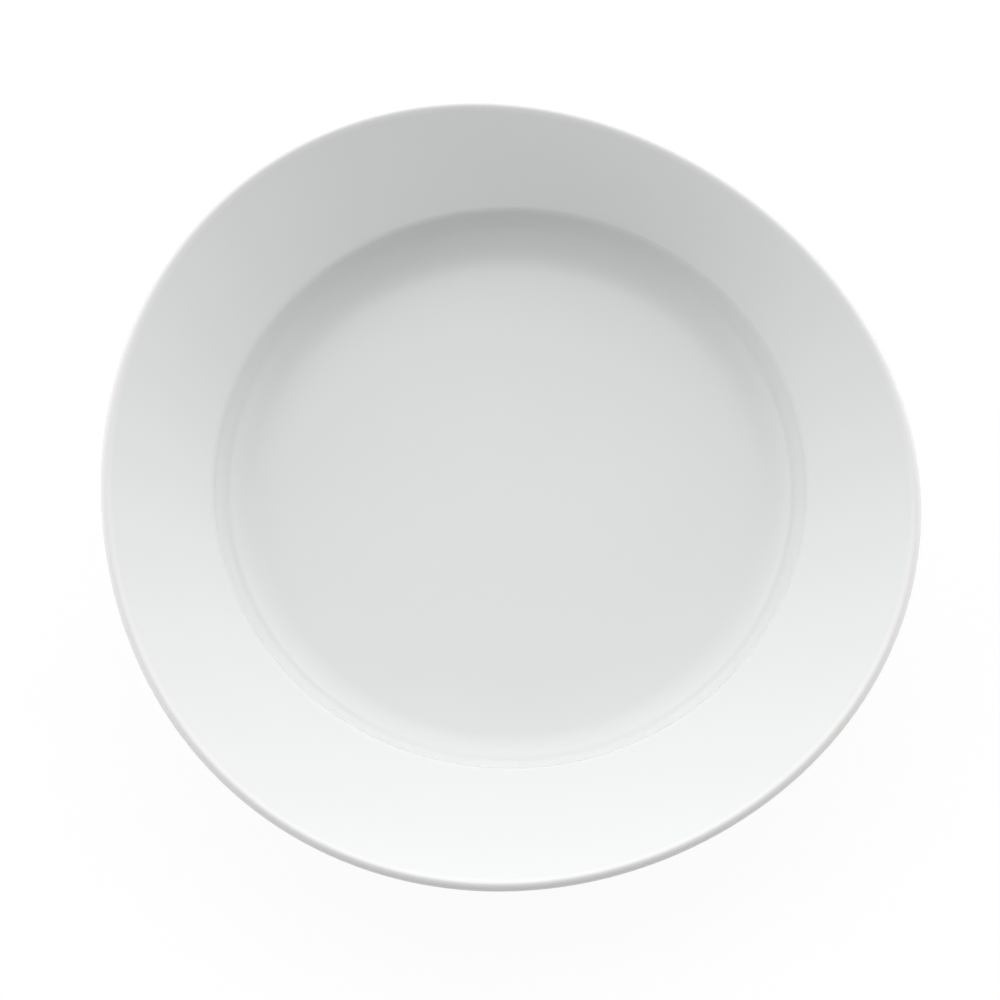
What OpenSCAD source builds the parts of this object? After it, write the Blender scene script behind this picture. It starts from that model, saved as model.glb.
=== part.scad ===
// Rimmed soup plate with an off-round rim and a round well.
// A pressed and fired porcelain body carries a clear glaze over its face, its rim and its back,
// and a second patch of glaze under its base. The edge that it stands on is bare porcelain.
// Millimetres. The plate stands on Z = 0 with the middle of its outline over the origin.
// X runs to the right and Y to the back, and the wide side of the rim is at the front.

/* [Outline] */
// Mean radius of the lip, from the middle of the outline
rim_r = 116; // [108:1:126]
// How far the outline swells at the two ends of its longer axis
oval_bulge = 2.4; // [0:0.1:4]
// Direction of the longer axis, in degrees from the right
oval_turn = -63; // [-90:1:90]
// How far the outline swells at its three soft corners
corner_bulge = 1.8; // [0:0.1:4]
// Direction of the first soft corner, in degrees from the right
corner_turn = -3; // [-60:1:60]

/* [Well] */
// Radius of the well at the break, where its wall turns into the rim
well_r = 84.4; // [78:0.1:90]
// How far the well lies to the right of the middle of the outline
well_right = 1.7; // [0:0.1:4]
// How far the well lies behind the middle of the outline
well_back = 6.1; // [0:0.1:8]
// Depth of the well from the break down to its floor
well_depth = 12; // [9:0.5:18]
// Slope of the well's wall, in degrees from level
wall_slope = 74; // [55:1:78]
// Radius of the hollow curve between floor and wall
cove_r = 14; // [8:1:20]
// Radius of the break between wall and rim
break_r = 3; // [1:0.5:5]

/* [Rim] */
// Rise of the rim from the break to the top of the lip
rim_rise = 16; // [8:0.5:20]
// How far the middle of the rim swells above a straight line from break to lip
rim_swell = 0.1; // [0.1:0.1:1]
// Radius of the bend along the middle of the rim
swell_r = 300; // [100:20:400]
// Thickness of the rim beside the break
rim_t = 3.5; // [2.6:0.1:4.5]
// Thickness of the rim at its round lip
lip_t = 3.1; // [2.2:0.1:4]

/* [Base] */
// Thickness of the well's floor
floor_t = 4.3; // [3.5:0.1:6]
// Thickness of the well's wall
wall_t = 3.7; // [2.8:0.1:5]
// Outer radius of the foot ring where it leaves the base
foot_r = 61; // [54:1:64]
// Height of the foot ring outside
foot_h = 2.8; // [2:0.1:3.6]
// Width of the foot ring's standing face between its rounded edges
foot_w = 2.8; // [2:0.1:5]
// How far each side of the foot ring leans in towards its standing face
foot_lean = 0.6; // [0.2:0.1:1.2]
// Radius along both edges of the standing face
foot_edge_r = 0.5; // [0.2:0.1:0.8]
// Depth of the recess inside the foot ring
recess_depth = 2.3; // [1.8:0.1:3]
// Radius in the corners at the root of the foot ring
root_r = 1.2; // [0.4:0.1:1.6]
// Radius of the hollow under the rim, where it meets the outside of the wall
under_r = 5; // [2:0.5:10]
// Slope of the base just outside the foot ring, in degrees from level
base_slope = 5; // [3:1:9]

/* [Glaze] */
// Thickness of the fired glaze
glaze_t = 0.25; // [0.15:0.01:0.4]
// Height of the bare edge of the foot ring, wiped clean of glaze
bare_h = 1.1; // [0.9:0.05:1.3]
// Width over which the glaze thins out towards its edge
feather_w = 0.4; // [0.2:0.05:0.6]

/* [Smoothness] */
// Number of straight sides in each ring round the plate
segments = 60; // [48:4:84]

/* [Hidden] */

// Colours of the bare porcelain, of the glaze and of the glaze under the base
bare_colour = [0.93, 0.91, 0.86];
glaze_colour = [0.95, 0.96, 0.96];
base_colour = [0.91, 0.93, 0.93];

// Share of a straight stretch that the roundings at its two ends may use up
stretch_share = 0.96;
// Share of the lip's thickness that its rounding radius takes, just under a full half
lip_share = 0.47;
// Share of the full glaze thickness that is left at its edge
feather_share = 0.4;
// Share of the way from break to lip at which the rim swells most
swell_share = 0.5;
// How far a cut runs past the face that it opens
overrun = 1;

// Steps in the hollow curve of the well, in that of the base, in an edge, in a corner and in a lip
cove_steps = 7;
base_steps = 4;
edge_steps = 3;
corner_steps = 2;
lip_steps = 3;

// Heights above the surface that the plate stands on
floor_z = recess_depth + floor_t;
break_z = floor_z + well_depth;
lip_z = break_z + rim_rise;

// Directions of the wall and of the base outside the foot ring
wall_way = [cos(wall_slope), sin(wall_slope)];
base_way = [cos(base_slope), sin(base_slope)];

// Corners of the section, each as its distance from the well's axis and its height
break_corner = [well_r, break_z];
lip_corner = [rim_r, lip_z];
cove_corner = meet([0, floor_z], [1, 0], break_corner, wall_way);
swell_corner = break_corner + swell_share * (lip_corner - break_corner) + [0, rim_swell];
lip_under = lip_corner - [0, lip_t];
swell_under = swell_corner - [0, rim_t + swell_share * (lip_t - rim_t)];
break_under = break_corner - [0, rim_t];
foot_root = [foot_r, foot_h];
foot_edge = [foot_r - foot_lean, 0];

// The outside of the wall runs beside the inside, one wall thickness away
outside = break_corner + wall_t * [wall_way[1], -wall_way[0]];
under_corner = meet(outside, wall_way, swell_under, break_under - swell_under);
base_corner = meet(outside, wall_way, foot_root, base_way);

// Corners of the recess in the base, inside the foot ring
recess_edge = foot_edge - [foot_w, 0];
recess_root = [recess_edge[0] - foot_lean, recess_depth];

// Where the glaze ends on each side of the foot ring, and where it starts to thin out
outer_end = between(foot_edge, foot_root, bare_h);
outer_thin = between(foot_edge, foot_root, bare_h + feather_w);
inner_end = between(recess_edge, recess_root, bare_h);
inner_thin = between(recess_edge, recess_root, bare_h + feather_w);

// Glazed surface of the body, from the middle of the well over the lip to the foot ring.
// Each corner has its distance from the axis, its height, its radius and its steps.
glazed_face = rounded([
    [0, floor_z, 0, 0],
    rounding(cove_corner, cove_r, cove_steps),
    rounding(break_corner, break_r, edge_steps),
    rounding(swell_corner, swell_r, corner_steps),
    rounding(lip_corner, lip_t * lip_share, lip_steps),
    rounding(lip_under, lip_t * lip_share, lip_steps),
    rounding(swell_under, 0, 0),
    rounding(under_corner, under_r, corner_steps),
    rounding(base_corner, cove_r + wall_t, base_steps),
    rounding(foot_root, root_r, corner_steps),
    rounding(outer_thin, 0, 0),
    rounding(outer_end, 0, 0)
]);

// Bare edge of the body, from the end of the glaze to the middle of the standing plane
bare_face = rounded([
    rounding(outer_end, 0, 0),
    rounding(foot_edge, foot_edge_r, corner_steps),
    [0, 0, 0, 0]
]);

// Glazed surface of the recess, from the end of the glaze to its middle
recess_face = rounded([
    rounding(inner_end, 0, 0),
    rounding(inner_thin, 0, 0),
    rounding(recess_root, root_r, corner_steps),
    [0, recess_depth, 0, 0]
]);

// Rounded inner edge of the foot ring, from its standing face to the end of the glaze
recess_lip = rounded([
    [recess_edge[0] + foot_w, 0, 0, 0],
    rounding(recess_edge, foot_edge_r, corner_steps),
    rounding(inner_end, 0, 0)
]);

// Directions of the points round the plate, and the middle of its outline
ways = [for (i = [0 : segments - 1]) i * 360 / segments];
outline = [for (way = ways) lip_point(way)];
middle = [middle_of([for (p = outline) p[0]]), middle_of([for (p = outline) p[1]])];

// Halfway between the least and the greatest of a list
function middle_of(list) = (min(list) + max(list)) / 2;

// Point where a line through p along d meets a line through q along e
function meet(p, d, q, e) = p + d * cross(q - p, e) / cross(d, e);

// Point at a given height on the line from p to q
function between(p, q, height) = p + (q - p) * (height - p[1]) / (q[1] - p[1]);

// A corner of a section with its rounding radius and steps
function rounding(p, radius, steps) = [p[0], p[1], radius, steps];

// Place of a corner, without its rounding
function place(corner) = [corner[0], corner[1]];

// Angle through which a path turns at its corner number i
function bend(path, i) =
    let (d = place(path[i]) - place(path[i - 1]), e = place(path[i + 1]) - place(path[i]))
    atan2(cross(d, e), d * e);

// Length of straight that the rounding of corner number i uses up on each side
function used(path, i) =
    i <= 0 || i >= len(path) - 1 ? 0 : path[i][2] * tan(abs(bend(path, i)) / 2);

// Limit on the roundings at the two ends of the stretch that starts at corner number i
function limit(path, i) =
    let (both = used(path, i) + used(path, i + 1))
    both == 0 ? 1 : min(1, stretch_share * norm(place(path[i + 1]) - place(path[i])) / both);

// Points of the arc that rounds corner number i, or the corner itself where it has none
function arc(path, i) =
    used(path, i) == 0 ? [place(path[i])] :
    let (
        fit = min(limit(path, i - 1), limit(path, i)),
        turn = bend(path, i),
        steps = path[i][3],
        way_in = place(path[i]) - place(path[i - 1]),
        start = place(path[i]) - used(path, i) * fit * way_in / norm(way_in),
        spoke = path[i][2] * fit * sign(turn) * [-way_in[1], way_in[0]] / norm(way_in)
    )
    [for (k = [0 : steps]) start + spoke - turned(spoke, turn * k / steps)];

// A direction turned through an angle
function turned(d, angle) =
    [d[0] * cos(angle) - d[1] * sin(angle), d[0] * sin(angle) + d[1] * cos(angle)];

// All points of a path with its corners rounded
function rounded(path) = [for (i = [0 : len(path) - 1]) each arc(path, i)];

// Unit direction square to the stretch from p to q, on the open side of a surface
function open_side(p, q) = [p[1] - q[1], q[0] - p[0]] / norm(q - p);

// Path moved to its open side by a thickness, which thins out at one end
function coated(path, thickness, thin_end) =
    [for (i = [0 : len(path) - 1])
        let (
            before = i == 0 ? undef : open_side(path[i - 1], path[i]),
            after = i == len(path) - 1 ? undef : open_side(path[i], path[i + 1]),
            both = (i == 0 ? after : before) + (i == len(path) - 1 ? before : after),
            depth = thickness * (i == thin_end ? feather_share : 1)
        )
        path[i] + 2 * depth * both / (both * both)
    ];

// A list the other way round
function reversed(list) = [for (i = [len(list) - 1 : -1 : 0]) list[i]];

// Distance of the lip from the middle of the outline, in one direction
function lip_reach(way) =
    rim_r + oval_bulge * cos(2 * (way - oval_turn)) + corner_bulge * cos(3 * (way - corner_turn));

// Point of the lip's outline, from the axis of the well
function lip_point(way) = lip_reach(way) * [cos(way), sin(way)] - [well_right, well_back];

// Point of the section laid out in one direction. It is round as far as the break.
// From there it stretches to the off-round outline, and the lip itself keeps its thickness.
function laid_out(p, way) =
    let (
        round_point = min(p[0], well_r) * [cos(way), sin(way)],
        rest = lip_point(way) - well_r * [cos(way), sin(way)],
        stretch = (norm(rest) - lip_t) / (rim_r - well_r - lip_t),
        out = p[0] > rim_r - lip_t ? norm(rest) + p[0] - rim_r : (p[0] - well_r) * stretch,
        there = round_point + max(0, out) * rest / norm(rest)
    )
    [there[0], there[1], p[1]];

// The two halves of the patch between rings a and b, from direction k to direction n.
// Its diagonal leaves the inner ring at k, so that solids that touch there share both halves.
function halves(a, b, k, n, outward) = outward
    ? [[a + k, a + n, b + n], [a + k, b + n, b + k]]
    : [[a + k, a + n, b + k], [a + n, b + n, b + k]];

// Puts a piece that is drawn about the well's axis in its place
module about_well() {
    translate([-middle[0], -middle[1], 0]) children();
}

// Closed solid laid out from a section that starts and ends on the axis
module lofted(section) {
    last = len(section) - 2;
    rings = [for (i = [1 : last]) for (way = ways) laid_out(section[i], way)];
    tip = len(rings);
    points = concat(rings, [[0, 0, section[0][1]], [0, 0, section[last + 1][1]]]);
    faces = [for (k = [0 : segments - 1])
        let (n = (k + 1) % segments, end = (last - 1) * segments)
        each concat(
            [[tip, n, k]],
            [for (i = [1 : last - 1])
                each halves((i - 1) * segments, i * segments, k, n, section[i][0] <= section[i + 1][0])],
            [[end + k, end + n, tip + 1]]
        )
    ];
    polyhedron(points, faces);
}

// The fired porcelain in one piece: well, rim, foot ring and base
module porcelain_body() {
    standing = concat(glazed_face, [for (i = [1 : len(bare_face) - 1]) bare_face[i]]);
    hollow = concat([[0, -overrun], [recess_edge[0] + foot_w, -overrun]], recess_lip, recess_face);
    color(bare_colour) about_well() difference() {
        lofted(standing);
        rotate_extrude($fn = segments) polygon(hollow);
    }
}

// The clear glaze over the face, the rim and the back, down to the side of the foot ring
module glaze_coat() {
    skin = coated(glazed_face, glaze_t, len(glazed_face) - 1);
    color(glaze_colour) about_well() lofted(concat(skin, reversed(glazed_face)));
}

// The clear glaze in the recess of the base, inside the foot ring
module base_glaze() {
    skin = coated(recess_face, glaze_t, 0);
    color(base_colour) about_well() rotate_extrude($fn = segments)
        polygon(concat(recess_face, reversed(skin)));
}

porcelain_body();
glaze_coat();
base_glaze();
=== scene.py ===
import math

import bmesh
import bpy
from bpy.props import FloatProperty, FloatVectorProperty, IntProperty, PointerProperty
from bpy.types import Operator, Panel, PropertyGroup
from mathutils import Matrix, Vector


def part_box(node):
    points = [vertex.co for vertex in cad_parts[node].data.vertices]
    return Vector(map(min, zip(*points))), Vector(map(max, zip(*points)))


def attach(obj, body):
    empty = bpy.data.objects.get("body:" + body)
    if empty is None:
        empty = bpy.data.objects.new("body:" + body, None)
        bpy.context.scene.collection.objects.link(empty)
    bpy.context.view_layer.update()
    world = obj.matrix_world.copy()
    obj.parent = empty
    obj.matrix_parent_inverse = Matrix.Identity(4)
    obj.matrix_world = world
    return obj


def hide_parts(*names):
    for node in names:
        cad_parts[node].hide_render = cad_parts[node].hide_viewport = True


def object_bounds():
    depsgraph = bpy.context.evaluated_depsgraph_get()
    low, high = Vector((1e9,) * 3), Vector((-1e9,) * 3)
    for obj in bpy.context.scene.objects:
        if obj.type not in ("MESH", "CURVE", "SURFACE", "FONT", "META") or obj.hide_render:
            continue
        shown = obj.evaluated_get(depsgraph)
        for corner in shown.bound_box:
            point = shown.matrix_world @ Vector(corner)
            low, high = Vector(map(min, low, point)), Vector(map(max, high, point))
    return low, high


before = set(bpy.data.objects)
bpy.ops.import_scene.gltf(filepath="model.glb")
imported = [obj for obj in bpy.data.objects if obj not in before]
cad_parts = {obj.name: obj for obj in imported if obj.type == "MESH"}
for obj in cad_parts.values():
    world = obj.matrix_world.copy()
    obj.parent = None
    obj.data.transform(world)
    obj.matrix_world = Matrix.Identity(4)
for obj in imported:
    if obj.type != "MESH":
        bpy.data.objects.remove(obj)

bl_info = {
    "name": "Rimmed Soup Plate",
    "version": (1, 0, 0),
    "blender": (4, 5, 0),
    "location": "3D View > Sidebar > Plate",
    "description": "Glazed porcelain soup plate with an off-round rim, on a plain stage",
    "category": "Object",
}

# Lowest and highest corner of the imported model, in metres
CAD_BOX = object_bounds()
# Body of the physics model that every piece rides on
BODY = "root"
MM = 0.001

# Lengths below this count as none
NEAR_ZERO = 0.001 * MM
# How far a fine mesh may differ from the box of the node that it stands for
FIT_TOLERANCE = 0.4 * MM
# Edges that turn by more than this are shaded as sharp
SHARP_ANGLE = math.radians(40)

# Share of a straight stretch that the roundings at its two ends may use up
STRETCH_SHARE = 0.96
# Share of the lip's thickness that its rounding radius takes, just under a full half
LIP_SHARE = 0.47
# Share of the glaze thickness that is left at its edge
FEATHER_SHARE = 0.4
# Share of the way from break to lip at which the rim swells most
SWELL_SHARE = 0.5
# Points beside the lip that bound its thin glaze: their distances from its upper and its lower
# corner, as shares of its thickness
THIN_ABOVE_SHARE = 1.1
THIN_BELOW_SHARE = 0.6

# How many ends the oval has and how many soft corners the outline has
OVAL_ENDS = 2
SOFT_CORNERS = 3

# Steps round the corners of the section
COVE_STEPS = 18
BREAK_STEPS = 8
SWELL_STEPS = 6
LIP_STEPS = 7
SWELL_UNDER_STEPS = 4
UNDER_STEPS = 6
BASE_STEPS = 10
ROOT_STEPS = 5
FOOT_EDGE_STEPS = 4
# Stretches into which the floor of the well and the floor of the recess are divided
FLAT_STEPS = 6

# Point attribute of the glaze coat that is 1 on the lip, where the glaze is thin and the colour
# carries a painted highlight
THIN_GLAZE_AND_HIGHLIGHT = "thin_glaze_and_highlight"
# How much of the pool's colour a full pool shows; in the well's cove the pool's deeper colour is
# partly painted shade
POOL_AND_SHADE_WEIGHT = 0.7
# Values of a noise between which clouds, and smears and worn blotches, fade in
CLOUD_LIMITS = (0.35, 0.65)
BLOTCH_LIMITS = (0.4, 0.7)
# Share of a speck's radius that is fully dark, and how dark specks are in glaze and porcelain
SPECK_CORE = 0.5
GLAZE_SPECK_DEPTH = 0.45
BARE_SPECK_DEPTH = 0.5
# How dense the ripple and the smears of the glaze are against its waves
RIPPLE_DENSITY = 4.0
SMEAR_DENSITY = 0.5
# Height of the ripple as a share of the height of the waves
RIPPLE_SHARE = 0.06
# How much rougher the glaze is in its smears
SMEAR_ROUGHNESS = 0.03
# From the outer root of the foot ring in to the pool in the recess
POOL_INSET = 4 * MM
GLAZE_IOR = 1.5
# Heights over the table between which the wear of the standing face fades out
WEAR_HEIGHTS = (0.02 * MM, 0.35 * MM)
# How much smoother the porcelain gets by wear
WEAR_POLISH = 0.25

# Soft patches of light: turn from the back to the right, elevation and strength
LOW_PATCHES = ((45, 10, 2.24), (90, 10, 1.02), (-45, 10, 1.88), (-90, 10, 1.46))
HIGH_PATCHES = ((0, 36, 0.27), (180, 36, 0.44), (0, 62, 0.92))
# Brightness of a white matte floor in this light, away from the plate's shadow
OPEN_LIGHT = 0.8
FLOOR_ROUGHNESS = 0.9
# Width of the camera's sensor, in Blender's millimetres
SENSOR_WIDTH = 36.0
# Distance at which the camera stops seeing, in metres
FAR_CLIP = 20.0

WHITE = (1.0, 1.0, 1.0, 1.0)
TO_THE_BACK = (0.0, 1.0, 0.0)
# Factors that take the height out of a direction
LEVEL = (1.0, 1.0, 0.0)

# Kinds of socket in a shader node group
FLOAT = "NodeSocketFloat"
COLOUR = "NodeSocketColor"
VECTOR = "NodeSocketVector"


def length(name, description, default):
    """A length, written in millimetres and kept in metres."""
    return FloatProperty(name=name, description=description, default=default * MM,
                         subtype="DISTANCE", unit="LENGTH", precision=5)


def angle(name, description, default):
    """An angle, written in degrees and kept in radians."""
    return FloatProperty(name=name, description=description, default=math.radians(default),
                         subtype="ANGLE", unit="ROTATION")


def colour(name, description, default):
    """A colour in linear light."""
    return FloatVectorProperty(name=name, description=description, default=default,
                               subtype="COLOR", size=3, min=0.0, max=1.0)


def share(name, description, default):
    """A number from 0 to 1."""
    return FloatProperty(name=name, description=description, default=default,
                         min=0.0, max=1.0, subtype="FACTOR")


def amount(name, description, default):
    """A number from 0 upwards."""
    return FloatProperty(name=name, description=description, default=default, min=0.0)


class PlateShape(PropertyGroup):
    """Sizes of the plate, the same as those of its solids"""
    rim_radius: length("Rim radius", "Mean radius of the lip", 116)
    oval_bulge: length("Oval bulge", "Swell at the ends of the longer axis", 2.4)
    oval_turn: angle("Oval turn", "Direction of the longer axis from the right", -63)
    corner_bulge: length("Corner bulge", "Swell at the three soft corners", 1.8)
    corner_turn: angle("Corner turn", "Direction of the first soft corner", -3)
    well_radius: length("Well radius", "Radius of the well at the break", 84.4)
    well_right: length("Well to the right", "Well's place beside the middle of the outline", 1.7)
    well_back: length("Well to the back", "Well's place behind the middle of the outline", 6.1)
    well_depth: length("Well depth", "From the break down to the floor", 12)
    wall_slope: angle("Wall slope", "Slope of the well's wall", 74)
    cove_radius: length("Cove radius", "Hollow curve between floor and wall", 14)
    break_radius: length("Break radius", "Edge between wall and rim", 3)
    rim_rise: length("Rim rise", "From the break to the top of the lip", 16)
    rim_swell: length("Rim swell", "Swell of the rim above a straight line", 0.1)
    swell_radius: length("Swell radius", "Bend along the middle of the rim", 300)
    rim_thickness: length("Rim thickness", "Beside the break", 3.5)
    lip_thickness: length("Lip thickness", "At the round lip", 3.1)
    floor_thickness: length("Floor thickness", "Thickness of the well's floor", 4.3)
    wall_thickness: length("Wall thickness", "Thickness of the well's wall", 3.7)
    foot_radius: length("Foot radius", "Outside of the foot ring at its root", 61)
    foot_height: length("Foot height", "Height of the foot ring outside", 2.8)
    foot_width: length("Foot width", "Standing face of the foot ring", 2.8)
    foot_lean: length("Foot lean", "How far each side of the foot ring leans in", 0.6)
    foot_edge_radius: length("Foot edge radius", "Edges of the standing face", 0.5)
    recess_depth: length("Recess depth", "Inside the foot ring", 2.3)
    root_radius: length("Root radius", "Corners at the root of the foot ring", 1.2)
    under_radius: length("Under radius", "Hollow under the rim beside the wall", 5)
    base_slope: angle("Base slope", "Slope of the base outside the foot ring", 5)
    glaze_thickness: length("Glaze thickness", "Thickness of the fired glaze", 0.25)
    bare_height: length("Bare height", "Edge of the foot ring without glaze", 1.1)
    feather_width: length("Feather width", "Where the glaze thins out to its edge", 0.4)
    sides: IntProperty(name="Sides", description="Steps round the plate", default=180, min=24)


class PlateFinish(PropertyGroup):
    """Colours and textures of the glaze and of the bare porcelain"""
    glaze_colour: colour("Glaze", "White of the glazed porcelain", (0.802, 0.815, 0.812))
    # Deeper colour of pooled glaze; in the well's cove it is partly painted shade
    pool_and_shade_colour: colour("Pooled glaze", "Where the glaze lies thicker", (0.776, 0.797, 0.793))
    # Lighter colour of the lip: partly thinner glaze, partly a painted highlight where the lip's
    # round catches light
    lip_and_highlight_colour: colour("Lip", "Where the glaze lies thinner on the lip", (0.85, 0.845, 0.84))
    base_colour: colour("Base glaze", "White of the glazed recess", (0.77, 0.79, 0.785))
    bare_colour: colour("Bare porcelain", "Fired body without glaze", (0.74, 0.70, 0.62))
    worn_colour: colour("Worn porcelain", "Standing face after some use", (0.60, 0.57, 0.52))
    speck_colour: colour("Speck", "Tiny specks under the glaze", (0.42, 0.38, 0.33))
    glaze_roughness: share("Glaze roughness", "Roughness of the glaze", 0.06)
    bare_roughness: share("Bare roughness", "Roughness of the bare porcelain", 0.78)
    # Band on the lip that gets the lighter colour of thin glaze and painted highlight
    thin_and_highlight_reach: length("Thin reach", "From the lip's middle, as far as the glaze is thin", 1.82)
    thin_and_highlight_fade: length("Thin fade", "Distance over which the thin glaze fades out", 0.12)
    pool_width: length("Pool width", "From the middle of a pool to its edge", 12)
    cloud_size: length("Cloud size", "Spacing of the faint clouds in the glaze", 60)
    cloud_share: share("Cloud share", "How much of the pool's colour a cloud shows", 0.25)
    wave_size: length("Wave size", "Spacing of the faint waves in the glaze", 14)
    wave_height: length("Wave height", "Height of the waves in the glaze", 0.012)
    speck_spacing: length("Speck spacing", "Distance between places for specks", 9)
    speck_radius: length("Speck radius", "Largest radius of a speck in the glaze", 0.22)
    coat_specks: share("Specks in the coat", "Share of the places with a speck", 0.02)
    base_specks: share("Specks in the base glaze", "Share of the places with a speck", 0.06)
    bare_speck_spacing: length("Bare speck spacing", "The same in the bare porcelain", 3)
    bare_speck_radius: length("Bare speck radius", "The same in the bare porcelain", 0.18)
    bare_specks: share("Specks in the porcelain", "Share of the places with a speck", 0.12)
    wear_size: length("Wear size", "Spacing of the worn blotches", 12)
    grain_size: length("Grain size", "Grain of the bare porcelain", 0.35)
    grain_height: length("Grain height", "Height of the grain", 0.03)


class StageSettings(PropertyGroup):
    """Camera, light and floor"""
    camera_distance: length("Camera distance", "From the camera to its target", 1500)
    camera_elevation: angle("Camera elevation", "Height of the camera above the table", 69.88)
    target_right: length("Target right", "Camera target beside the origin", -2.98)
    target_back: length("Target back", "Camera target behind the origin", -4.45)
    target_down: length("Target down", "Camera target below the top of the lip", 0.95)
    view_width: length("View width", "Width that the picture takes in at the target", 279.75)
    light_strength: amount("Light", "Strength of the patches and the strip", 1.0)
    light_focus: amount("Light focus", "How small the soft patches are", 6.0)
    low_gleam: share("Low gleam", "Share of the low patches that the glaze mirrors", 0.3)
    strip_strength: amount("Strip", "Strength of the low strip behind", 3.19)
    strip_elevation: angle("Strip elevation", "Height of the strip above the table", 5)
    strip_height: angle("Strip height", "Distance over which the strip fades up and down", 3.4)
    strip_focus: amount("Strip focus", "How short the strip is", 2.0)
    floor_size: length("Floor size", "Width of the floor", 4000)
    floor_colour: colour("Floor", "Colour of the floor", (0.95, 0.95, 0.95))
    shadow_share: share("Shadow", "How much shadow the floor shows", 0.12)


def cross(a, b):
    """Signed area spanned by two directions."""
    return a.x * b.y - a.y * b.x


def meet(p, d, q, e):
    """Point where a line through p along d meets a line through q along e."""
    return p + d * (cross(q - p, e) / cross(d, e))


def between(p, q, height):
    """Point at a given height on the line from p to q."""
    return p + (q - p) * ((height - p.y) / (q.y - p.y))


def towards(p, q, reach):
    """Point at a given distance from p on the line to q."""
    return p + (q - p).normalized() * reach


def turned(d, turn):
    """A direction turned through an angle."""
    c, s = math.cos(turn), math.sin(turn)
    return Vector((d.x * c - d.y * s, d.x * s + d.y * c))


def bend(path, i):
    """Angle through which a path turns at its corner number i."""
    d = path[i][0] - path[i - 1][0]
    e = path[i + 1][0] - path[i][0]
    return math.atan2(cross(d, e), d.dot(e))


def used(path, i):
    """Length of straight that the rounding of corner number i uses up on each side."""
    if i <= 0 or i >= len(path) - 1:
        return 0.0
    return path[i][1] * math.tan(abs(bend(path, i)) / 2)


def limit(path, i):
    """Limit on the roundings at the two ends of the stretch that starts at corner i."""
    both = used(path, i) + used(path, i + 1)
    if both == 0:
        return 1.0
    return min(1.0, STRETCH_SHARE * (path[i + 1][0] - path[i][0]).length / both)


def rounded(path):
    """All points of a path of (corner, radius, steps) with its corners rounded."""
    points = []
    for i, (corner, radius, steps) in enumerate(path):
        if used(path, i) == 0:
            points.append(corner.copy())
            continue
        fit = min(limit(path, i - 1), limit(path, i))
        turn = bend(path, i)
        way_in = (corner - path[i - 1][0]).normalized()
        start = corner - way_in * used(path, i) * fit
        spoke = Vector((-way_in.y, way_in.x)) * math.copysign(radius * fit, turn)
        for k in range(steps + 1):
            points.append(start + spoke - turned(spoke, turn * k / steps))
    return points


def plain(p):
    """A corner of a path that isn't rounded."""
    return p, 0.0, 0


def stretched(p, q):
    """Plain corners that divide the floor of the well or the recess, from p to q."""
    return [plain(p.lerp(q, k / FLAT_STEPS)) for k in range(1, FLAT_STEPS)]


def coated(path, thickness, thin_end):
    """Path moved to its open side by a thickness, which thins out at one end."""
    sides = [Vector((p.y - q.y, q.x - p.x)).normalized() for p, q in zip(path, path[1:])]
    skin = []
    for i, p in enumerate(path):
        both = sides[max(0, i - 1)] + sides[min(i, len(sides) - 1)]
        depth = thickness * (FEATHER_SHARE if i == thin_end else 1.0)
        skin.append(p + both * (2 * depth / both.length_squared))
    return skin


def between_skins(path, skin):
    """Section between a path that starts or ends on the axis and its skin."""
    if path[0].x == 0.0:
        return skin + path[::-1]
    return path[::-1] + skin


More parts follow.
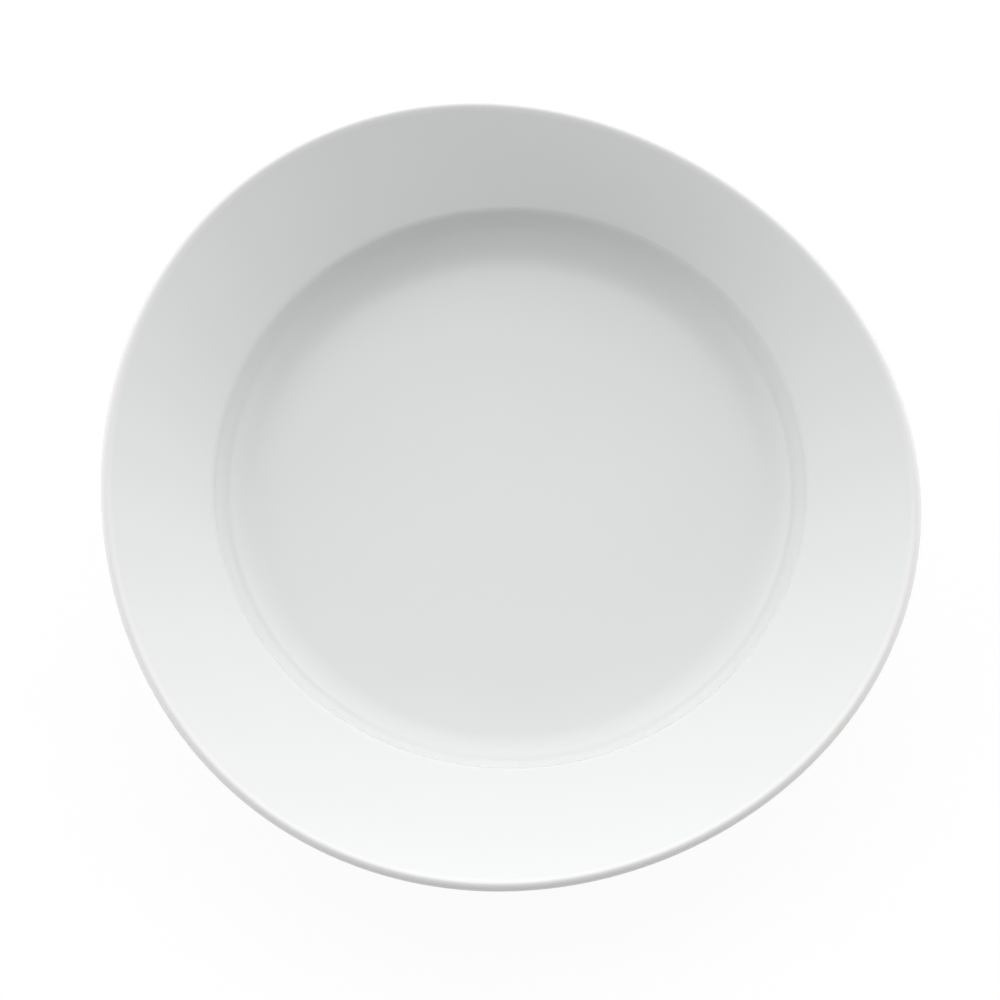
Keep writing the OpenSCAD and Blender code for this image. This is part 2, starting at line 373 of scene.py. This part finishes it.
class Sections:
    """Sections of the plate's surfaces, from the middle of the well to the middle of the base.
    Each point holds its distance from the well's axis and its height."""

    def __init__(self, s):
        # Corners of the inside: floor, cove, break, swell of the rim and lip
        floor_z = s.recess_depth + s.floor_thickness
        edge = Vector((s.well_radius, floor_z + s.well_depth))
        lip = Vector((s.rim_radius, edge.y + s.rim_rise))
        wall_way = Vector((math.cos(s.wall_slope), math.sin(s.wall_slope)))
        middle = Vector((0.0, floor_z))
        cove = meet(middle, Vector((1.0, 0.0)), edge, wall_way)
        swell = edge.lerp(lip, SWELL_SHARE) + Vector((0.0, s.rim_swell))

        # Corners of the outside: underside of the rim, wall, base and foot ring
        rim_mid = s.rim_thickness + SWELL_SHARE * (s.lip_thickness - s.rim_thickness)
        lip_under = lip - Vector((0.0, s.lip_thickness))
        swell_under = swell - Vector((0.0, rim_mid))
        edge_under = edge - Vector((0.0, s.rim_thickness))
        root = Vector((s.foot_radius, s.foot_height))
        foot_edge = Vector((s.foot_radius - s.foot_lean, 0.0))
        outside = edge + Vector((wall_way.y, -wall_way.x)) * s.wall_thickness
        base_way = Vector((math.cos(s.base_slope), math.sin(s.base_slope)))
        under = meet(outside, wall_way, swell_under, edge_under - swell_under)
        base = meet(outside, wall_way, root, base_way)

        # The recess, and the edges of the two glazes on the foot ring
        recess_edge = foot_edge - Vector((s.foot_width, 0.0))
        recess_root = Vector((recess_edge.x - s.foot_lean, s.recess_depth))
        bottom = Vector((0.0, s.recess_depth))
        outer_end = between(foot_edge, root, s.bare_height)
        outer_thin = between(foot_edge, root, s.bare_height + s.feather_width)
        inner_end = between(recess_edge, recess_root, s.bare_height)
        inner_thin = between(recess_edge, recess_root, s.bare_height + s.feather_width)

        lip_radius = s.lip_thickness * LIP_SHARE
        thin_above = towards(lip, swell, s.lip_thickness * THIN_ABOVE_SHARE)
        thin_below = towards(lip_under, swell_under, s.lip_thickness * THIN_BELOW_SHARE)
        # The corner that divides a floor beside the cove or the root is left out
        self.face = rounded(
            [plain(middle)] + stretched(middle, cove)[:-1]
            + [(cove, s.cove_radius, COVE_STEPS),
               (edge, s.break_radius, BREAK_STEPS),
               (swell, s.swell_radius, SWELL_STEPS),
               plain(thin_above),
               (lip, lip_radius, LIP_STEPS),
               (lip_under, lip_radius, LIP_STEPS),
               plain(thin_below),
               (swell_under, s.swell_radius, SWELL_UNDER_STEPS),
               (under, s.under_radius, UNDER_STEPS),
               (base, s.cove_radius + s.wall_thickness, BASE_STEPS),
               (root, s.root_radius, ROOT_STEPS),
               plain(outer_thin),
               plain(outer_end)])
        self.foot = rounded([plain(outer_end),
                             (foot_edge, s.foot_edge_radius, FOOT_EDGE_STEPS),
                             (recess_edge, s.foot_edge_radius, FOOT_EDGE_STEPS),
                             plain(inner_end)])
        self.recess = rounded([plain(inner_end),
                               plain(inner_thin),
                               (recess_root, s.root_radius, ROOT_STEPS)]
                              + stretched(recess_root, bottom)[1:]
                              + [plain(bottom)])
        # Middle of the round lip, level with the middle of its outermost points
        outermost = [p.y for p in self.face if p.x > s.rim_radius - NEAR_ZERO]
        self.lip_middle = Vector((s.rim_radius - lip_radius, (outermost[0] + outermost[-1]) / 2))


class Outline:
    """The off-round outline of the lip, and the place of the well in it."""

    def __init__(self, s):
        self.shape = s
        self.ways = [math.tau * k / s.sides for k in range(s.sides)]
        lips = [self.lip(way) for way in self.ways]
        self.middle = Vector(((min(p.x for p in lips) + max(p.x for p in lips)) / 2,
                              (min(p.y for p in lips) + max(p.y for p in lips)) / 2))

    def lip(self, way):
        """Point of the lip in one direction, from the axis of the well."""
        s = self.shape
        reach = (s.rim_radius + s.oval_bulge * math.cos(OVAL_ENDS * (way - s.oval_turn))
                 + s.corner_bulge * math.cos(SOFT_CORNERS * (way - s.corner_turn)))
        offset = Vector((s.well_right, s.well_back))
        return Vector((math.cos(way), math.sin(way))) * reach - offset

    def laid_out(self, p, way):
        """Place of a section's point in one direction: round as far as the break, then
        stretched to the outline, with the lip at its own thickness."""
        s = self.shape
        spoke = Vector((math.cos(way), math.sin(way)))
        rest = self.lip(way) - spoke * s.well_radius
        run = rest.length
        if p.x > s.rim_radius - s.lip_thickness:
            out = run + p.x - s.rim_radius
        else:
            stretch = (run - s.lip_thickness) / (s.rim_radius - s.well_radius - s.lip_thickness)
            out = max(0.0, (p.x - s.well_radius) * stretch)
        there = spoke * min(p.x, s.well_radius) + rest * (out / run) - self.middle
        return there.x, there.y, p.y


def lofted(name, section, outline):
    """Closed mesh object laid out from a section that starts and ends on the axis."""
    mesh = bpy.data.meshes.new(name)
    bm = bmesh.new()
    axis = -outline.middle
    first = bm.verts.new((axis.x, axis.y, section[0].y))
    last = bm.verts.new((axis.x, axis.y, section[-1].y))
    rings = [[bm.verts.new(outline.laid_out(p, way)) for way in outline.ways]
             for p in section[1:-1]]
    sides = len(outline.ways)
    for k in range(sides):
        n = (k + 1) % sides
        bm.faces.new((first, rings[0][k], rings[0][n]))
        for inner, outer in zip(rings, rings[1:]):
            bm.faces.new((inner[k], outer[k], outer[n], inner[n]))
        bm.faces.new((rings[-1][k], last, rings[-1][n]))
    bmesh.ops.recalc_face_normals(bm, faces=bm.faces)
    bm.to_mesh(mesh)
    bm.free()
    mesh.shade_smooth()
    mesh.set_sharp_from_angle(angle=SHARP_ANGLE)
    piece = bpy.data.objects.new(name, mesh)
    bpy.context.collection.objects.link(piece)
    return piece


def mark_thin_and_highlight(piece, section, outline, lip_middle, look):
    """Marks each point of a lofted piece with how thin its glaze is and where its painted
    highlight goes: 1 on the lip, 0 off it.
    """
    reach = [(p - lip_middle).length for p in section]
    thin = [min(1.0, max(0.0, 1.0 - (r - look.thin_and_highlight_reach) / look.thin_and_highlight_fade)) for r in reach]
    # In the order of lofted: the two points on the axis, then ring by ring
    marks = [thin[0], thin[-1]] + [mark for mark in thin[1:-1] for way in outline.ways]
    layer = piece.data.attributes.new(THIN_GLAZE_AND_HIGHLIGHT, "FLOAT", "POINT")
    layer.data.foreach_set("value", marks)


def stand_for(piece, node):
    """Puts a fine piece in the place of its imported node, after a test that it fits."""
    low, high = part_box(node)
    corners = [Vector(v.co) for v in piece.data.vertices]
    for axis in range(3):
        least = min(c[axis] for c in corners)
        most = max(c[axis] for c in corners)
        if abs(least - low[axis]) > FIT_TOLERANCE or abs(most - high[axis]) > FIT_TOLERANCE:
            raise RuntimeError(
                f"{piece.name} doesn't fit {node} along axis {axis}: "
                f"{least:.5f} to {most:.5f}, not {low[axis]:.5f} to {high[axis]:.5f}")
    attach(piece, BODY)
    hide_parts(node)


def feed(tree, socket, value):
    """Links an output to a socket, or sets the socket to a plain value."""
    if isinstance(value, bpy.types.NodeSocket):
        tree.links.new(value, socket)
    else:
        socket.default_value = value


def node(tree, kind, settings=None, **inputs):
    """A shader node with its settings, and with values or outputs on its inputs. An input goes
    by its name, or by i and its number."""
    made = tree.nodes.new(kind)
    for key, value in (settings or {}).items():
        setattr(made, key, value)
    for key, value in inputs.items():
        place = int(key[1:]) if key[1:].isdigit() else key.replace("_", " ")
        feed(tree, made.inputs[place], value)
    return made


def maths(tree, operation, first, second=0.0, clamp=False):
    """The result of a Math node."""
    settings = {"operation": operation, "use_clamp": clamp}
    return node(tree, "ShaderNodeMath", settings, i0=first, i1=second).outputs[0]


def weighed(tree, value, weight, more):
    """A value times its weight, and more added to it."""
    settings = {"operation": "MULTIPLY_ADD"}
    return node(tree, "ShaderNodeMath", settings, i0=value, i1=weight, i2=more).outputs[0]


def vector_maths(tree, operation, first, second=(0.0, 0.0, 0.0)):
    """The result of a Vector Math node: a number for a length or a product, else a vector."""
    settings = {"operation": operation}
    made = node(tree, "ShaderNodeVectorMath", settings, i0=first, i1=second)
    return made.outputs["Value" if operation in ("LENGTH", "DOT_PRODUCT") else "Vector"]


def spread(tree, value, low, high):
    """How far a value is on its way from a low to a high limit, smoothly from 0 to 1."""
    settings = {"interpolation_type": "SMOOTHSTEP"}
    made = node(tree, "ShaderNodeMapRange", settings, Value=value, From_Min=low, From_Max=high)
    return made.outputs["Result"]


def mixed(tree, factor, first, second):
    """Two colours mixed by a factor."""
    made = tree.nodes.new("ShaderNodeMix")
    made.data_type = "RGBA"
    for name, value in (("Factor_Float", factor), ("A_Color", first), ("B_Color", second)):
        feed(tree, next(s for s in made.inputs if s.identifier == name), value)
    return next(s for s in made.outputs if s.identifier == "Result_Color")


def place_on(tree):
    """The place of the shaded point in the piece's own frame."""
    return node(tree, "ShaderNodeTexCoord").outputs["Object"]


def noise(tree, place, scale, detail):
    """A soft noise from 0 to 1."""
    made = node(tree, "ShaderNodeTexNoise", Vector=place, Scale=scale, Detail=detail)
    return made.outputs["Fac"]


def add_bump(tree, shader, height):
    """Gives a shader the look of a surface that is raised by a height in metres."""
    bump = node(tree, "ShaderNodeBump", Strength=1.0, Distance=1.0, Height=height)
    tree.links.new(bump.outputs["Normal"], shader.inputs["Normal"])


def new_group(name, inputs, outputs):
    """An empty shader node group with named sockets, the outputs that give its inputs and the
    inputs that take its results."""
    group = bpy.data.node_groups.new(name, "ShaderNodeTree")
    for label, kind in inputs:
        group.interface.new_socket(name=label, in_out="INPUT", socket_type=kind)
    for label, kind in outputs:
        group.interface.new_socket(name=label, in_out="OUTPUT", socket_type=kind)
    given = group.nodes.new("NodeGroupInput")
    return group, given.outputs, group.nodes.new("NodeGroupOutput").inputs


def use_group(tree, name, **inputs):
    """The outputs of a group that is placed in a material with its own values."""
    made = tree.nodes.new("ShaderNodeGroup")
    made.node_tree = bpy.data.node_groups[name]
    for key, value in inputs.items():
        feed(tree, made.inputs[key.replace("_", " ")], value)
    return made.outputs


def glaze_tint_group():
    """Colour of a glaze: lighter on the lip, where the glaze is thin and carries a painted
    highlight; deeper where it pools, which in the well's cove is partly painted shade; with faint
    clouds.
    """
    group, given, result = new_group(
        "Glaze Tint",
        (("Clear Colour", COLOUR), ("Pool Colour", COLOUR), ("Well Axis", VECTOR),
         ("Pool Radius", FLOAT), ("Pool Width", FLOAT), ("Cloud Size", FLOAT),
         ("Cloud Share", FLOAT), ("Lip Colour", COLOUR), ("Thin Mask", FLOAT)),
        (("Colour", COLOUR),))
    place = place_on(group)
    off_axis = vector_maths(group, "SUBTRACT", place, given["Well Axis"])
    radius = vector_maths(group, "LENGTH", vector_maths(group, "MULTIPLY", off_axis, LEVEL))
    away = maths(group, "ABSOLUTE", maths(group, "SUBTRACT", radius, given["Pool Radius"]))
    pool = maths(group, "SUBTRACT", 1.0, spread(group, away, 0.0, given["Pool Width"]))
    clouds = noise(group, place, maths(group, "DIVIDE", 1.0, given["Cloud Size"]), detail=2.0)
    cloud = maths(group, "MULTIPLY", spread(group, clouds, *CLOUD_LIMITS), given["Cloud Share"])
    # The pool's deeper colour: glaze pooling, and in the well's cove partly painted shade
    deep = maths(group, "ADD", maths(group, "MULTIPLY", pool, POOL_AND_SHADE_WEIGHT), cloud, clamp=True)
    tint = mixed(group, deep, given["Clear Colour"], given["Pool Colour"])
    # Lighter lip: thinner glaze and a painted highlight
    tint = mixed(group, given["Thin Mask"], tint, given["Lip Colour"])
    group.links.new(tint, result["Colour"])


def fine_specks_group():
    """Mask of a few tiny round specks, one at most in each cell."""
    group, given, result = new_group(
        "Fine Specks",
        (("Spacing", FLOAT), ("Speck Share", FLOAT), ("Speck Radius", FLOAT)),
        (("Mask", FLOAT),))
    cells = node(group, "ShaderNodeTexVoronoi", Vector=place_on(group),
                 Scale=maths(group, "DIVIDE", 1.0, given["Spacing"]))
    distance = maths(group, "MULTIPLY", cells.outputs["Distance"], given["Spacing"])
    core = maths(group, "MULTIPLY", given["Speck Radius"], SPECK_CORE)
    dot = maths(group, "SUBTRACT", 1.0, spread(group, distance, core, given["Speck Radius"]))
    chance = node(group, "ShaderNodeSeparateColor", Color=cells.outputs["Color"])
    chosen = maths(group, "LESS_THAN", chance.outputs["Red"], given["Speck Share"])
    group.links.new(maths(group, "MULTIPLY", dot, chosen), result["Mask"])


def glaze_waves_group():
    """Height of the faint waves and the finer ripple that a fired glaze keeps, and the smears
    in its gloss."""
    group, given, result = new_group(
        "Glaze Waves",
        (("Wave Size", FLOAT), ("Wave Height", FLOAT)),
        (("Height", FLOAT), ("Smear", FLOAT)))
    place = place_on(group)
    scale = maths(group, "DIVIDE", 1.0, given["Wave Size"])
    waves = noise(group, place, scale, detail=0.0)
    ripple = noise(group, place, maths(group, "MULTIPLY", scale, RIPPLE_DENSITY), detail=1.0)
    rise = maths(group, "ADD", waves, maths(group, "MULTIPLY", ripple, RIPPLE_SHARE))
    height = maths(group, "MULTIPLY", rise, given["Wave Height"])
    smear = noise(group, place, maths(group, "MULTIPLY", scale, SMEAR_DENSITY), detail=3.0)
    group.links.new(height, result["Height"])
    group.links.new(smear, result["Smear"])


def new_material(name):
    """A material with a Principled BSDF that is linked to its output."""
    material = bpy.data.materials.new(name)
    material.use_nodes = True
    tree = material.node_tree
    tree.nodes.clear()
    shader = tree.nodes.new("ShaderNodeBsdfPrincipled")
    output = tree.nodes.new("ShaderNodeOutputMaterial")
    tree.links.new(shader.outputs["BSDF"], output.inputs["Surface"])
    return material, tree, shader


def opaque(rgb):
    """A colour with full cover."""
    return (*rgb, 1.0)


def glaze_material(name, clear, pool_radius, speck_share, look, outline):
    """Glossy clear glaze on white porcelain, with faint pools, waves and specks; on the coat the
    lip is lighter partly by a painted highlight and the pool in the well's cove is partly painted
    shade.
    """
    material, tree, shader = new_material(name)
    # 1 on the lip, which is lighter by thinner glaze and a painted highlight
    thin = node(tree, "ShaderNodeAttribute", {"attribute_name": THIN_GLAZE_AND_HIGHLIGHT}).outputs["Fac"]
    tint = use_group(tree, "Glaze Tint", Clear_Colour=opaque(clear),
                     Pool_Colour=opaque(look.pool_and_shade_colour), Lip_Colour=opaque(look.lip_and_highlight_colour),
                     Well_Axis=(-outline.middle.x, -outline.middle.y, 0.0),
                     Pool_Radius=pool_radius, Pool_Width=look.pool_width,
                     Cloud_Size=look.cloud_size, Cloud_Share=look.cloud_share, Thin_Mask=thin)
    specks = use_group(tree, "Fine Specks", Spacing=look.speck_spacing,
                       Speck_Share=speck_share, Speck_Radius=look.speck_radius)
    waves = use_group(tree, "Glaze Waves", Wave_Size=look.wave_size,
                      Wave_Height=look.wave_height)
    dark = maths(tree, "MULTIPLY", specks["Mask"], GLAZE_SPECK_DEPTH)
    base = mixed(tree, dark, tint["Colour"], opaque(look.speck_colour))
    tree.links.new(base, shader.inputs["Base Color"])
    smear = spread(tree, waves["Smear"], *BLOTCH_LIMITS)
    rough = weighed(tree, smear, SMEAR_ROUGHNESS, look.glaze_roughness)
    tree.links.new(rough, shader.inputs["Roughness"])
    add_bump(tree, shader, waves["Height"])
    shader.inputs["IOR"].default_value = GLAZE_IOR
    return material


def bare_material(look):
    """Fired porcelain without glaze: matte, warm and finely grained, worn where it stands."""
    material, tree, shader = new_material("bare_porcelain")
    place = place_on(tree)
    grain = noise(tree, place, 1.0 / look.grain_size, detail=4.0)
    blotch = noise(tree, place, 1.0 / look.wear_size, detail=2.0)
    height = node(tree, "ShaderNodeSeparateXYZ", Vector=place).outputs["Z"]
    low = maths(tree, "SUBTRACT", 1.0, spread(tree, height, *WEAR_HEIGHTS))
    worn = maths(tree, "MULTIPLY", low, spread(tree, blotch, *BLOTCH_LIMITS))
    specks = use_group(tree, "Fine Specks", Spacing=look.bare_speck_spacing,
                       Speck_Share=look.bare_specks, Speck_Radius=look.bare_speck_radius)
    shade = mixed(tree, worn, opaque(look.bare_colour), opaque(look.worn_colour))
    dark = maths(tree, "MULTIPLY", specks["Mask"], BARE_SPECK_DEPTH)
    base = mixed(tree, dark, shade, opaque(look.speck_colour))
    tree.links.new(base, shader.inputs["Base Color"])
    rough = weighed(tree, worn, -WEAR_POLISH, look.bare_roughness)
    tree.links.new(rough, shader.inputs["Roughness"])
    add_bump(tree, shader, maths(tree, "MULTIPLY", grain, look.grain_height))
    return material


def sees_backdrop(tree):
    """1 for rays that should meet the white backdrop: camera, glossy and transmission rays."""
    path = node(tree, "ShaderNodeLightPath")
    seen = maths(tree, "MAXIMUM", path.outputs["Is Camera Ray"], path.outputs["Is Glossy Ray"])
    return maths(tree, "MAXIMUM", seen, path.outputs["Is Transmission Ray"])


class PLATE_OT_groups(Operator):
    """Makes the shader node groups that the plate's materials share"""
    bl_idname = "plate.groups"
    bl_label = "Shared surface effects"

    def execute(self, context):
        glaze_tint_group()
        fine_specks_group()
        glaze_waves_group()
        return {"FINISHED"}


class PLATE_OT_porcelain_body(Operator):
    """Builds the fired porcelain: well, rim, base and foot ring in one piece"""
    bl_idname = "plate.porcelain_body"
    bl_label = "Porcelain body"

    def execute(self, context):
        shape, look = context.scene.plate_shape, context.scene.plate_finish
        sections, outline = Sections(shape), Outline(shape)
        section = sections.face + sections.foot[1:] + sections.recess[1:]
        piece = lofted("fired_porcelain", section, outline)
        piece.data.materials.append(bare_material(look))
        stand_for(piece, "porcelain_body")
        return {"FINISHED"}


class PLATE_OT_glaze_coat(Operator):
    """Builds the clear glaze over face, lip and back, down to the side of the foot ring"""
    bl_idname = "plate.glaze_coat"
    bl_label = "Glaze coat"

    def execute(self, context):
        shape, look = context.scene.plate_shape, context.scene.plate_finish
        sections, outline = Sections(shape), Outline(shape)
        path = sections.face
        section = between_skins(path, coated(path, shape.glaze_thickness, len(path) - 1))
        piece = lofted("face_and_back_glaze", section, outline)
        mark_thin_and_highlight(piece, section, outline, sections.lip_middle, look)
        # The pool lies in the well's cove, where its deeper colour is partly painted shade
        cove_middle = shape.well_radius - shape.cove_radius / 2
        piece.data.materials.append(glaze_material(
            "clear_glaze", look.glaze_colour, cove_middle, look.coat_specks, look, outline))
        stand_for(piece, "glaze_coat")
        return {"FINISHED"}


class PLATE_OT_base_glaze(Operator):
    """Builds the patch of glaze in the recess inside the foot ring"""
    bl_idname = "plate.base_glaze"
    bl_label = "Base glaze"

    def execute(self, context):
        shape, look = context.scene.plate_shape, context.scene.plate_finish
        sections, outline = Sections(shape), Outline(shape)
        path = sections.recess
        section = between_skins(path, coated(path, shape.glaze_thickness, 0))
        piece = lofted("recess_glaze", section, outline)
        piece.data.materials.append(glaze_material(
            "base_glaze", look.base_colour, shape.foot_radius - POOL_INSET, look.base_specks,
            look, outline))
        stand_for(piece, "base_glaze")
        return {"FINISHED"}


class PLATE_OT_stage(Operator):
    """Sets up the floor, the soft light and the camera"""
    bl_idname = "plate.stage"
    bl_label = "Stage"

    def execute(self, context):
        scene = context.scene
        stage = scene.plate_stage
        self.floor(context, stage)
        self.soft_light(scene, stage)
        self.camera(context, stage)
        scene.view_settings.view_transform = "Standard"
        return {"FINISHED"}

    def floor(self, context, stage):
        """A wide pale floor that the camera sees white, with the plate's shadow on it."""
        mesh = bpy.data.meshes.new("floor")
        bm = bmesh.new()
        bmesh.ops.create_grid(bm, x_segments=1, y_segments=1, size=stage.floor_size / 2)
        bm.to_mesh(mesh)
        bm.free()
        floor = bpy.data.objects.new("floor", mesh)
        context.collection.objects.link(floor)
        material, tree, shader = new_material("floor")
        shader.inputs["Base Color"].default_value = opaque(stage.floor_colour)
        shader.inputs["Roughness"].default_value = FLOOR_ROUGHNESS
        # The floor as it is seen: a glow, and a little matte colour that lifts it to white in
        # the open and leaves it grey in the plate's shadow
        lit = node(tree, "ShaderNodeBsdfDiffuse", Color=opaque([stage.shadow_share] * 3))
        glow = node(tree, "ShaderNodeEmission", Color=WHITE,
                    Strength=1.0 - OPEN_LIGHT * stage.shadow_share)
        white = node(tree, "ShaderNodeAddShader", i0=lit.outputs[0], i1=glow.outputs[0])
        both = node(tree, "ShaderNodeMixShader", i0=sees_backdrop(tree),
                    i1=shader.outputs[0], i2=white.outputs[0])
        output = next(n for n in tree.nodes if n.type == "OUTPUT_MATERIAL")
        tree.links.new(both.outputs[0], output.inputs["Surface"])
        mesh.materials.append(material)

    def fall(self, tree, way, middle, focus):
        """Light that is 1 in one direction and falls off smoothly all round it."""
        near = vector_maths(tree, "DOT_PRODUCT", way, middle)
        return maths(tree, "EXPONENT", weighed(tree, near, focus, -focus))

    def patches(self, tree, way, places, stage):
        """Soft round patches of light at several places, added up."""
        glow = 0.0
        for turn, elevation, strength in places:
            turn, elevation = math.radians(turn), math.radians(elevation)
            middle = (math.sin(turn) * math.cos(elevation), math.cos(turn) * math.cos(elevation),
                      math.sin(elevation))
            patch = self.fall(tree, way, middle, stage.light_focus)
            glow = weighed(tree, patch, strength * stage.light_strength, glow)
        return glow

    def strip(self, tree, way, stage):
        """A long strip of light just above the table behind the plate."""
        height = node(tree, "ShaderNodeSeparateXYZ", Vector=way).outputs["Z"]
        off = maths(tree, "SUBTRACT", height, math.sin(stage.strip_elevation))
        off = maths(tree, "DIVIDE", off, math.sin(stage.strip_height))
        off = maths(tree, "MULTIPLY", off, off)
        across = maths(tree, "EXPONENT", maths(tree, "MULTIPLY", off, -1.0))
        flat = vector_maths(tree, "NORMALIZE", vector_maths(tree, "MULTIPLY", way, LEVEL))
        along = self.fall(tree, flat, TO_THE_BACK, stage.strip_focus)
        along = maths(tree, "MULTIPLY", along, stage.strip_strength * stage.light_strength)
        return maths(tree, "MULTIPLY", along, across)

    def soft_light(self, scene, stage):
        """Soft light all round the plate, with white where the backdrop is seen. The glaze
        mirrors the high patches in full, the low ones in part and the strip not at all."""
        world = bpy.data.worlds.new("soft_light")
        world.use_nodes = True
        tree = world.node_tree
        tree.nodes.clear()
        way = node(tree, "ShaderNodeTexCoord").outputs["Generated"]
        path = node(tree, "ShaderNodeLightPath")
        matte = maths(tree, "SUBTRACT", 1.0, path.outputs["Is Glossy Ray"])
        gleam = weighed(tree, matte, 1.0 - stage.low_gleam, stage.low_gleam)
        glow = self.patches(tree, way, HIGH_PATCHES, stage)
        glow = weighed(tree, self.patches(tree, way, LOW_PATCHES, stage), gleam, glow)
        glow = weighed(tree, self.strip(tree, way, stage), matte, glow)
        unseen = maths(tree, "SUBTRACT", 1.0, path.outputs["Is Camera Ray"])
        strength = weighed(tree, glow, unseen, sees_backdrop(tree))
        light = node(tree, "ShaderNodeBackground", Color=WHITE, Strength=strength)
        output = tree.nodes.new("ShaderNodeOutputWorld")
        tree.links.new(light.outputs[0], output.inputs["Surface"])
        scene.world = world

    def camera(self, context, stage):
        """A long lens at the height at which the photograph was taken."""
        data = bpy.data.cameras.new("camera")
        data.sensor_width = SENSOR_WIDTH
        data.lens = data.sensor_width * stage.camera_distance / stage.view_width
        data.clip_end = FAR_CLIP
        camera = bpy.data.objects.new("camera", data)
        target = Vector((stage.target_right, stage.target_back, CAD_BOX[1].z - stage.target_down))
        back = Vector((0.0, -math.cos(stage.camera_elevation), math.sin(stage.camera_elevation)))
        camera.location = target + back * stage.camera_distance
        camera.rotation_euler = (math.pi / 2 - stage.camera_elevation, 0.0, 0.0)
        context.collection.objects.link(camera)
        context.scene.camera = camera


class PLATE_PT_panel(Panel):
    """Sidebar panel with the plate's pieces, sizes and finishes"""
    bl_idname = "PLATE_PT_panel"
    bl_label = "Rimmed Soup Plate"
    bl_space_type = "VIEW_3D"
    bl_region_type = "UI"
    bl_category = "Plate"

    def draw(self, context):
        column = self.layout.column()
        for operator in OPERATORS:
            column.operator(operator.bl_idname)
        for name, group in SETTINGS:
            settings = getattr(context.scene, name)
            box = self.layout.box()
            for key in group.__annotations__:
                box.prop(settings, key)


OPERATORS = (PLATE_OT_groups, PLATE_OT_porcelain_body, PLATE_OT_glaze_coat,
             PLATE_OT_base_glaze, PLATE_OT_stage)
SETTINGS = (("plate_shape", PlateShape), ("plate_finish", PlateFinish),
            ("plate_stage", StageSettings))


def register():
    for name, group in SETTINGS:
        bpy.utils.register_class(group)
        setattr(bpy.types.Scene, name, PointerProperty(type=group))
    for cls in (*OPERATORS, PLATE_PT_panel):
        bpy.utils.register_class(cls)


def unregister():
    for cls in (PLATE_PT_panel, *reversed(OPERATORS)):
        bpy.utils.unregister_class(cls)
    for name, group in reversed(SETTINGS):
        delattr(bpy.types.Scene, name)
        bpy.utils.unregister_class(group)


def main():
    """Builds the plate and its stage."""
    register()
    bpy.ops.plate.groups()
    bpy.ops.plate.porcelain_body()
    bpy.ops.plate.glaze_coat()
    bpy.ops.plate.base_glaze()
    bpy.ops.plate.stage()


if __name__ == "__main__":
    main()
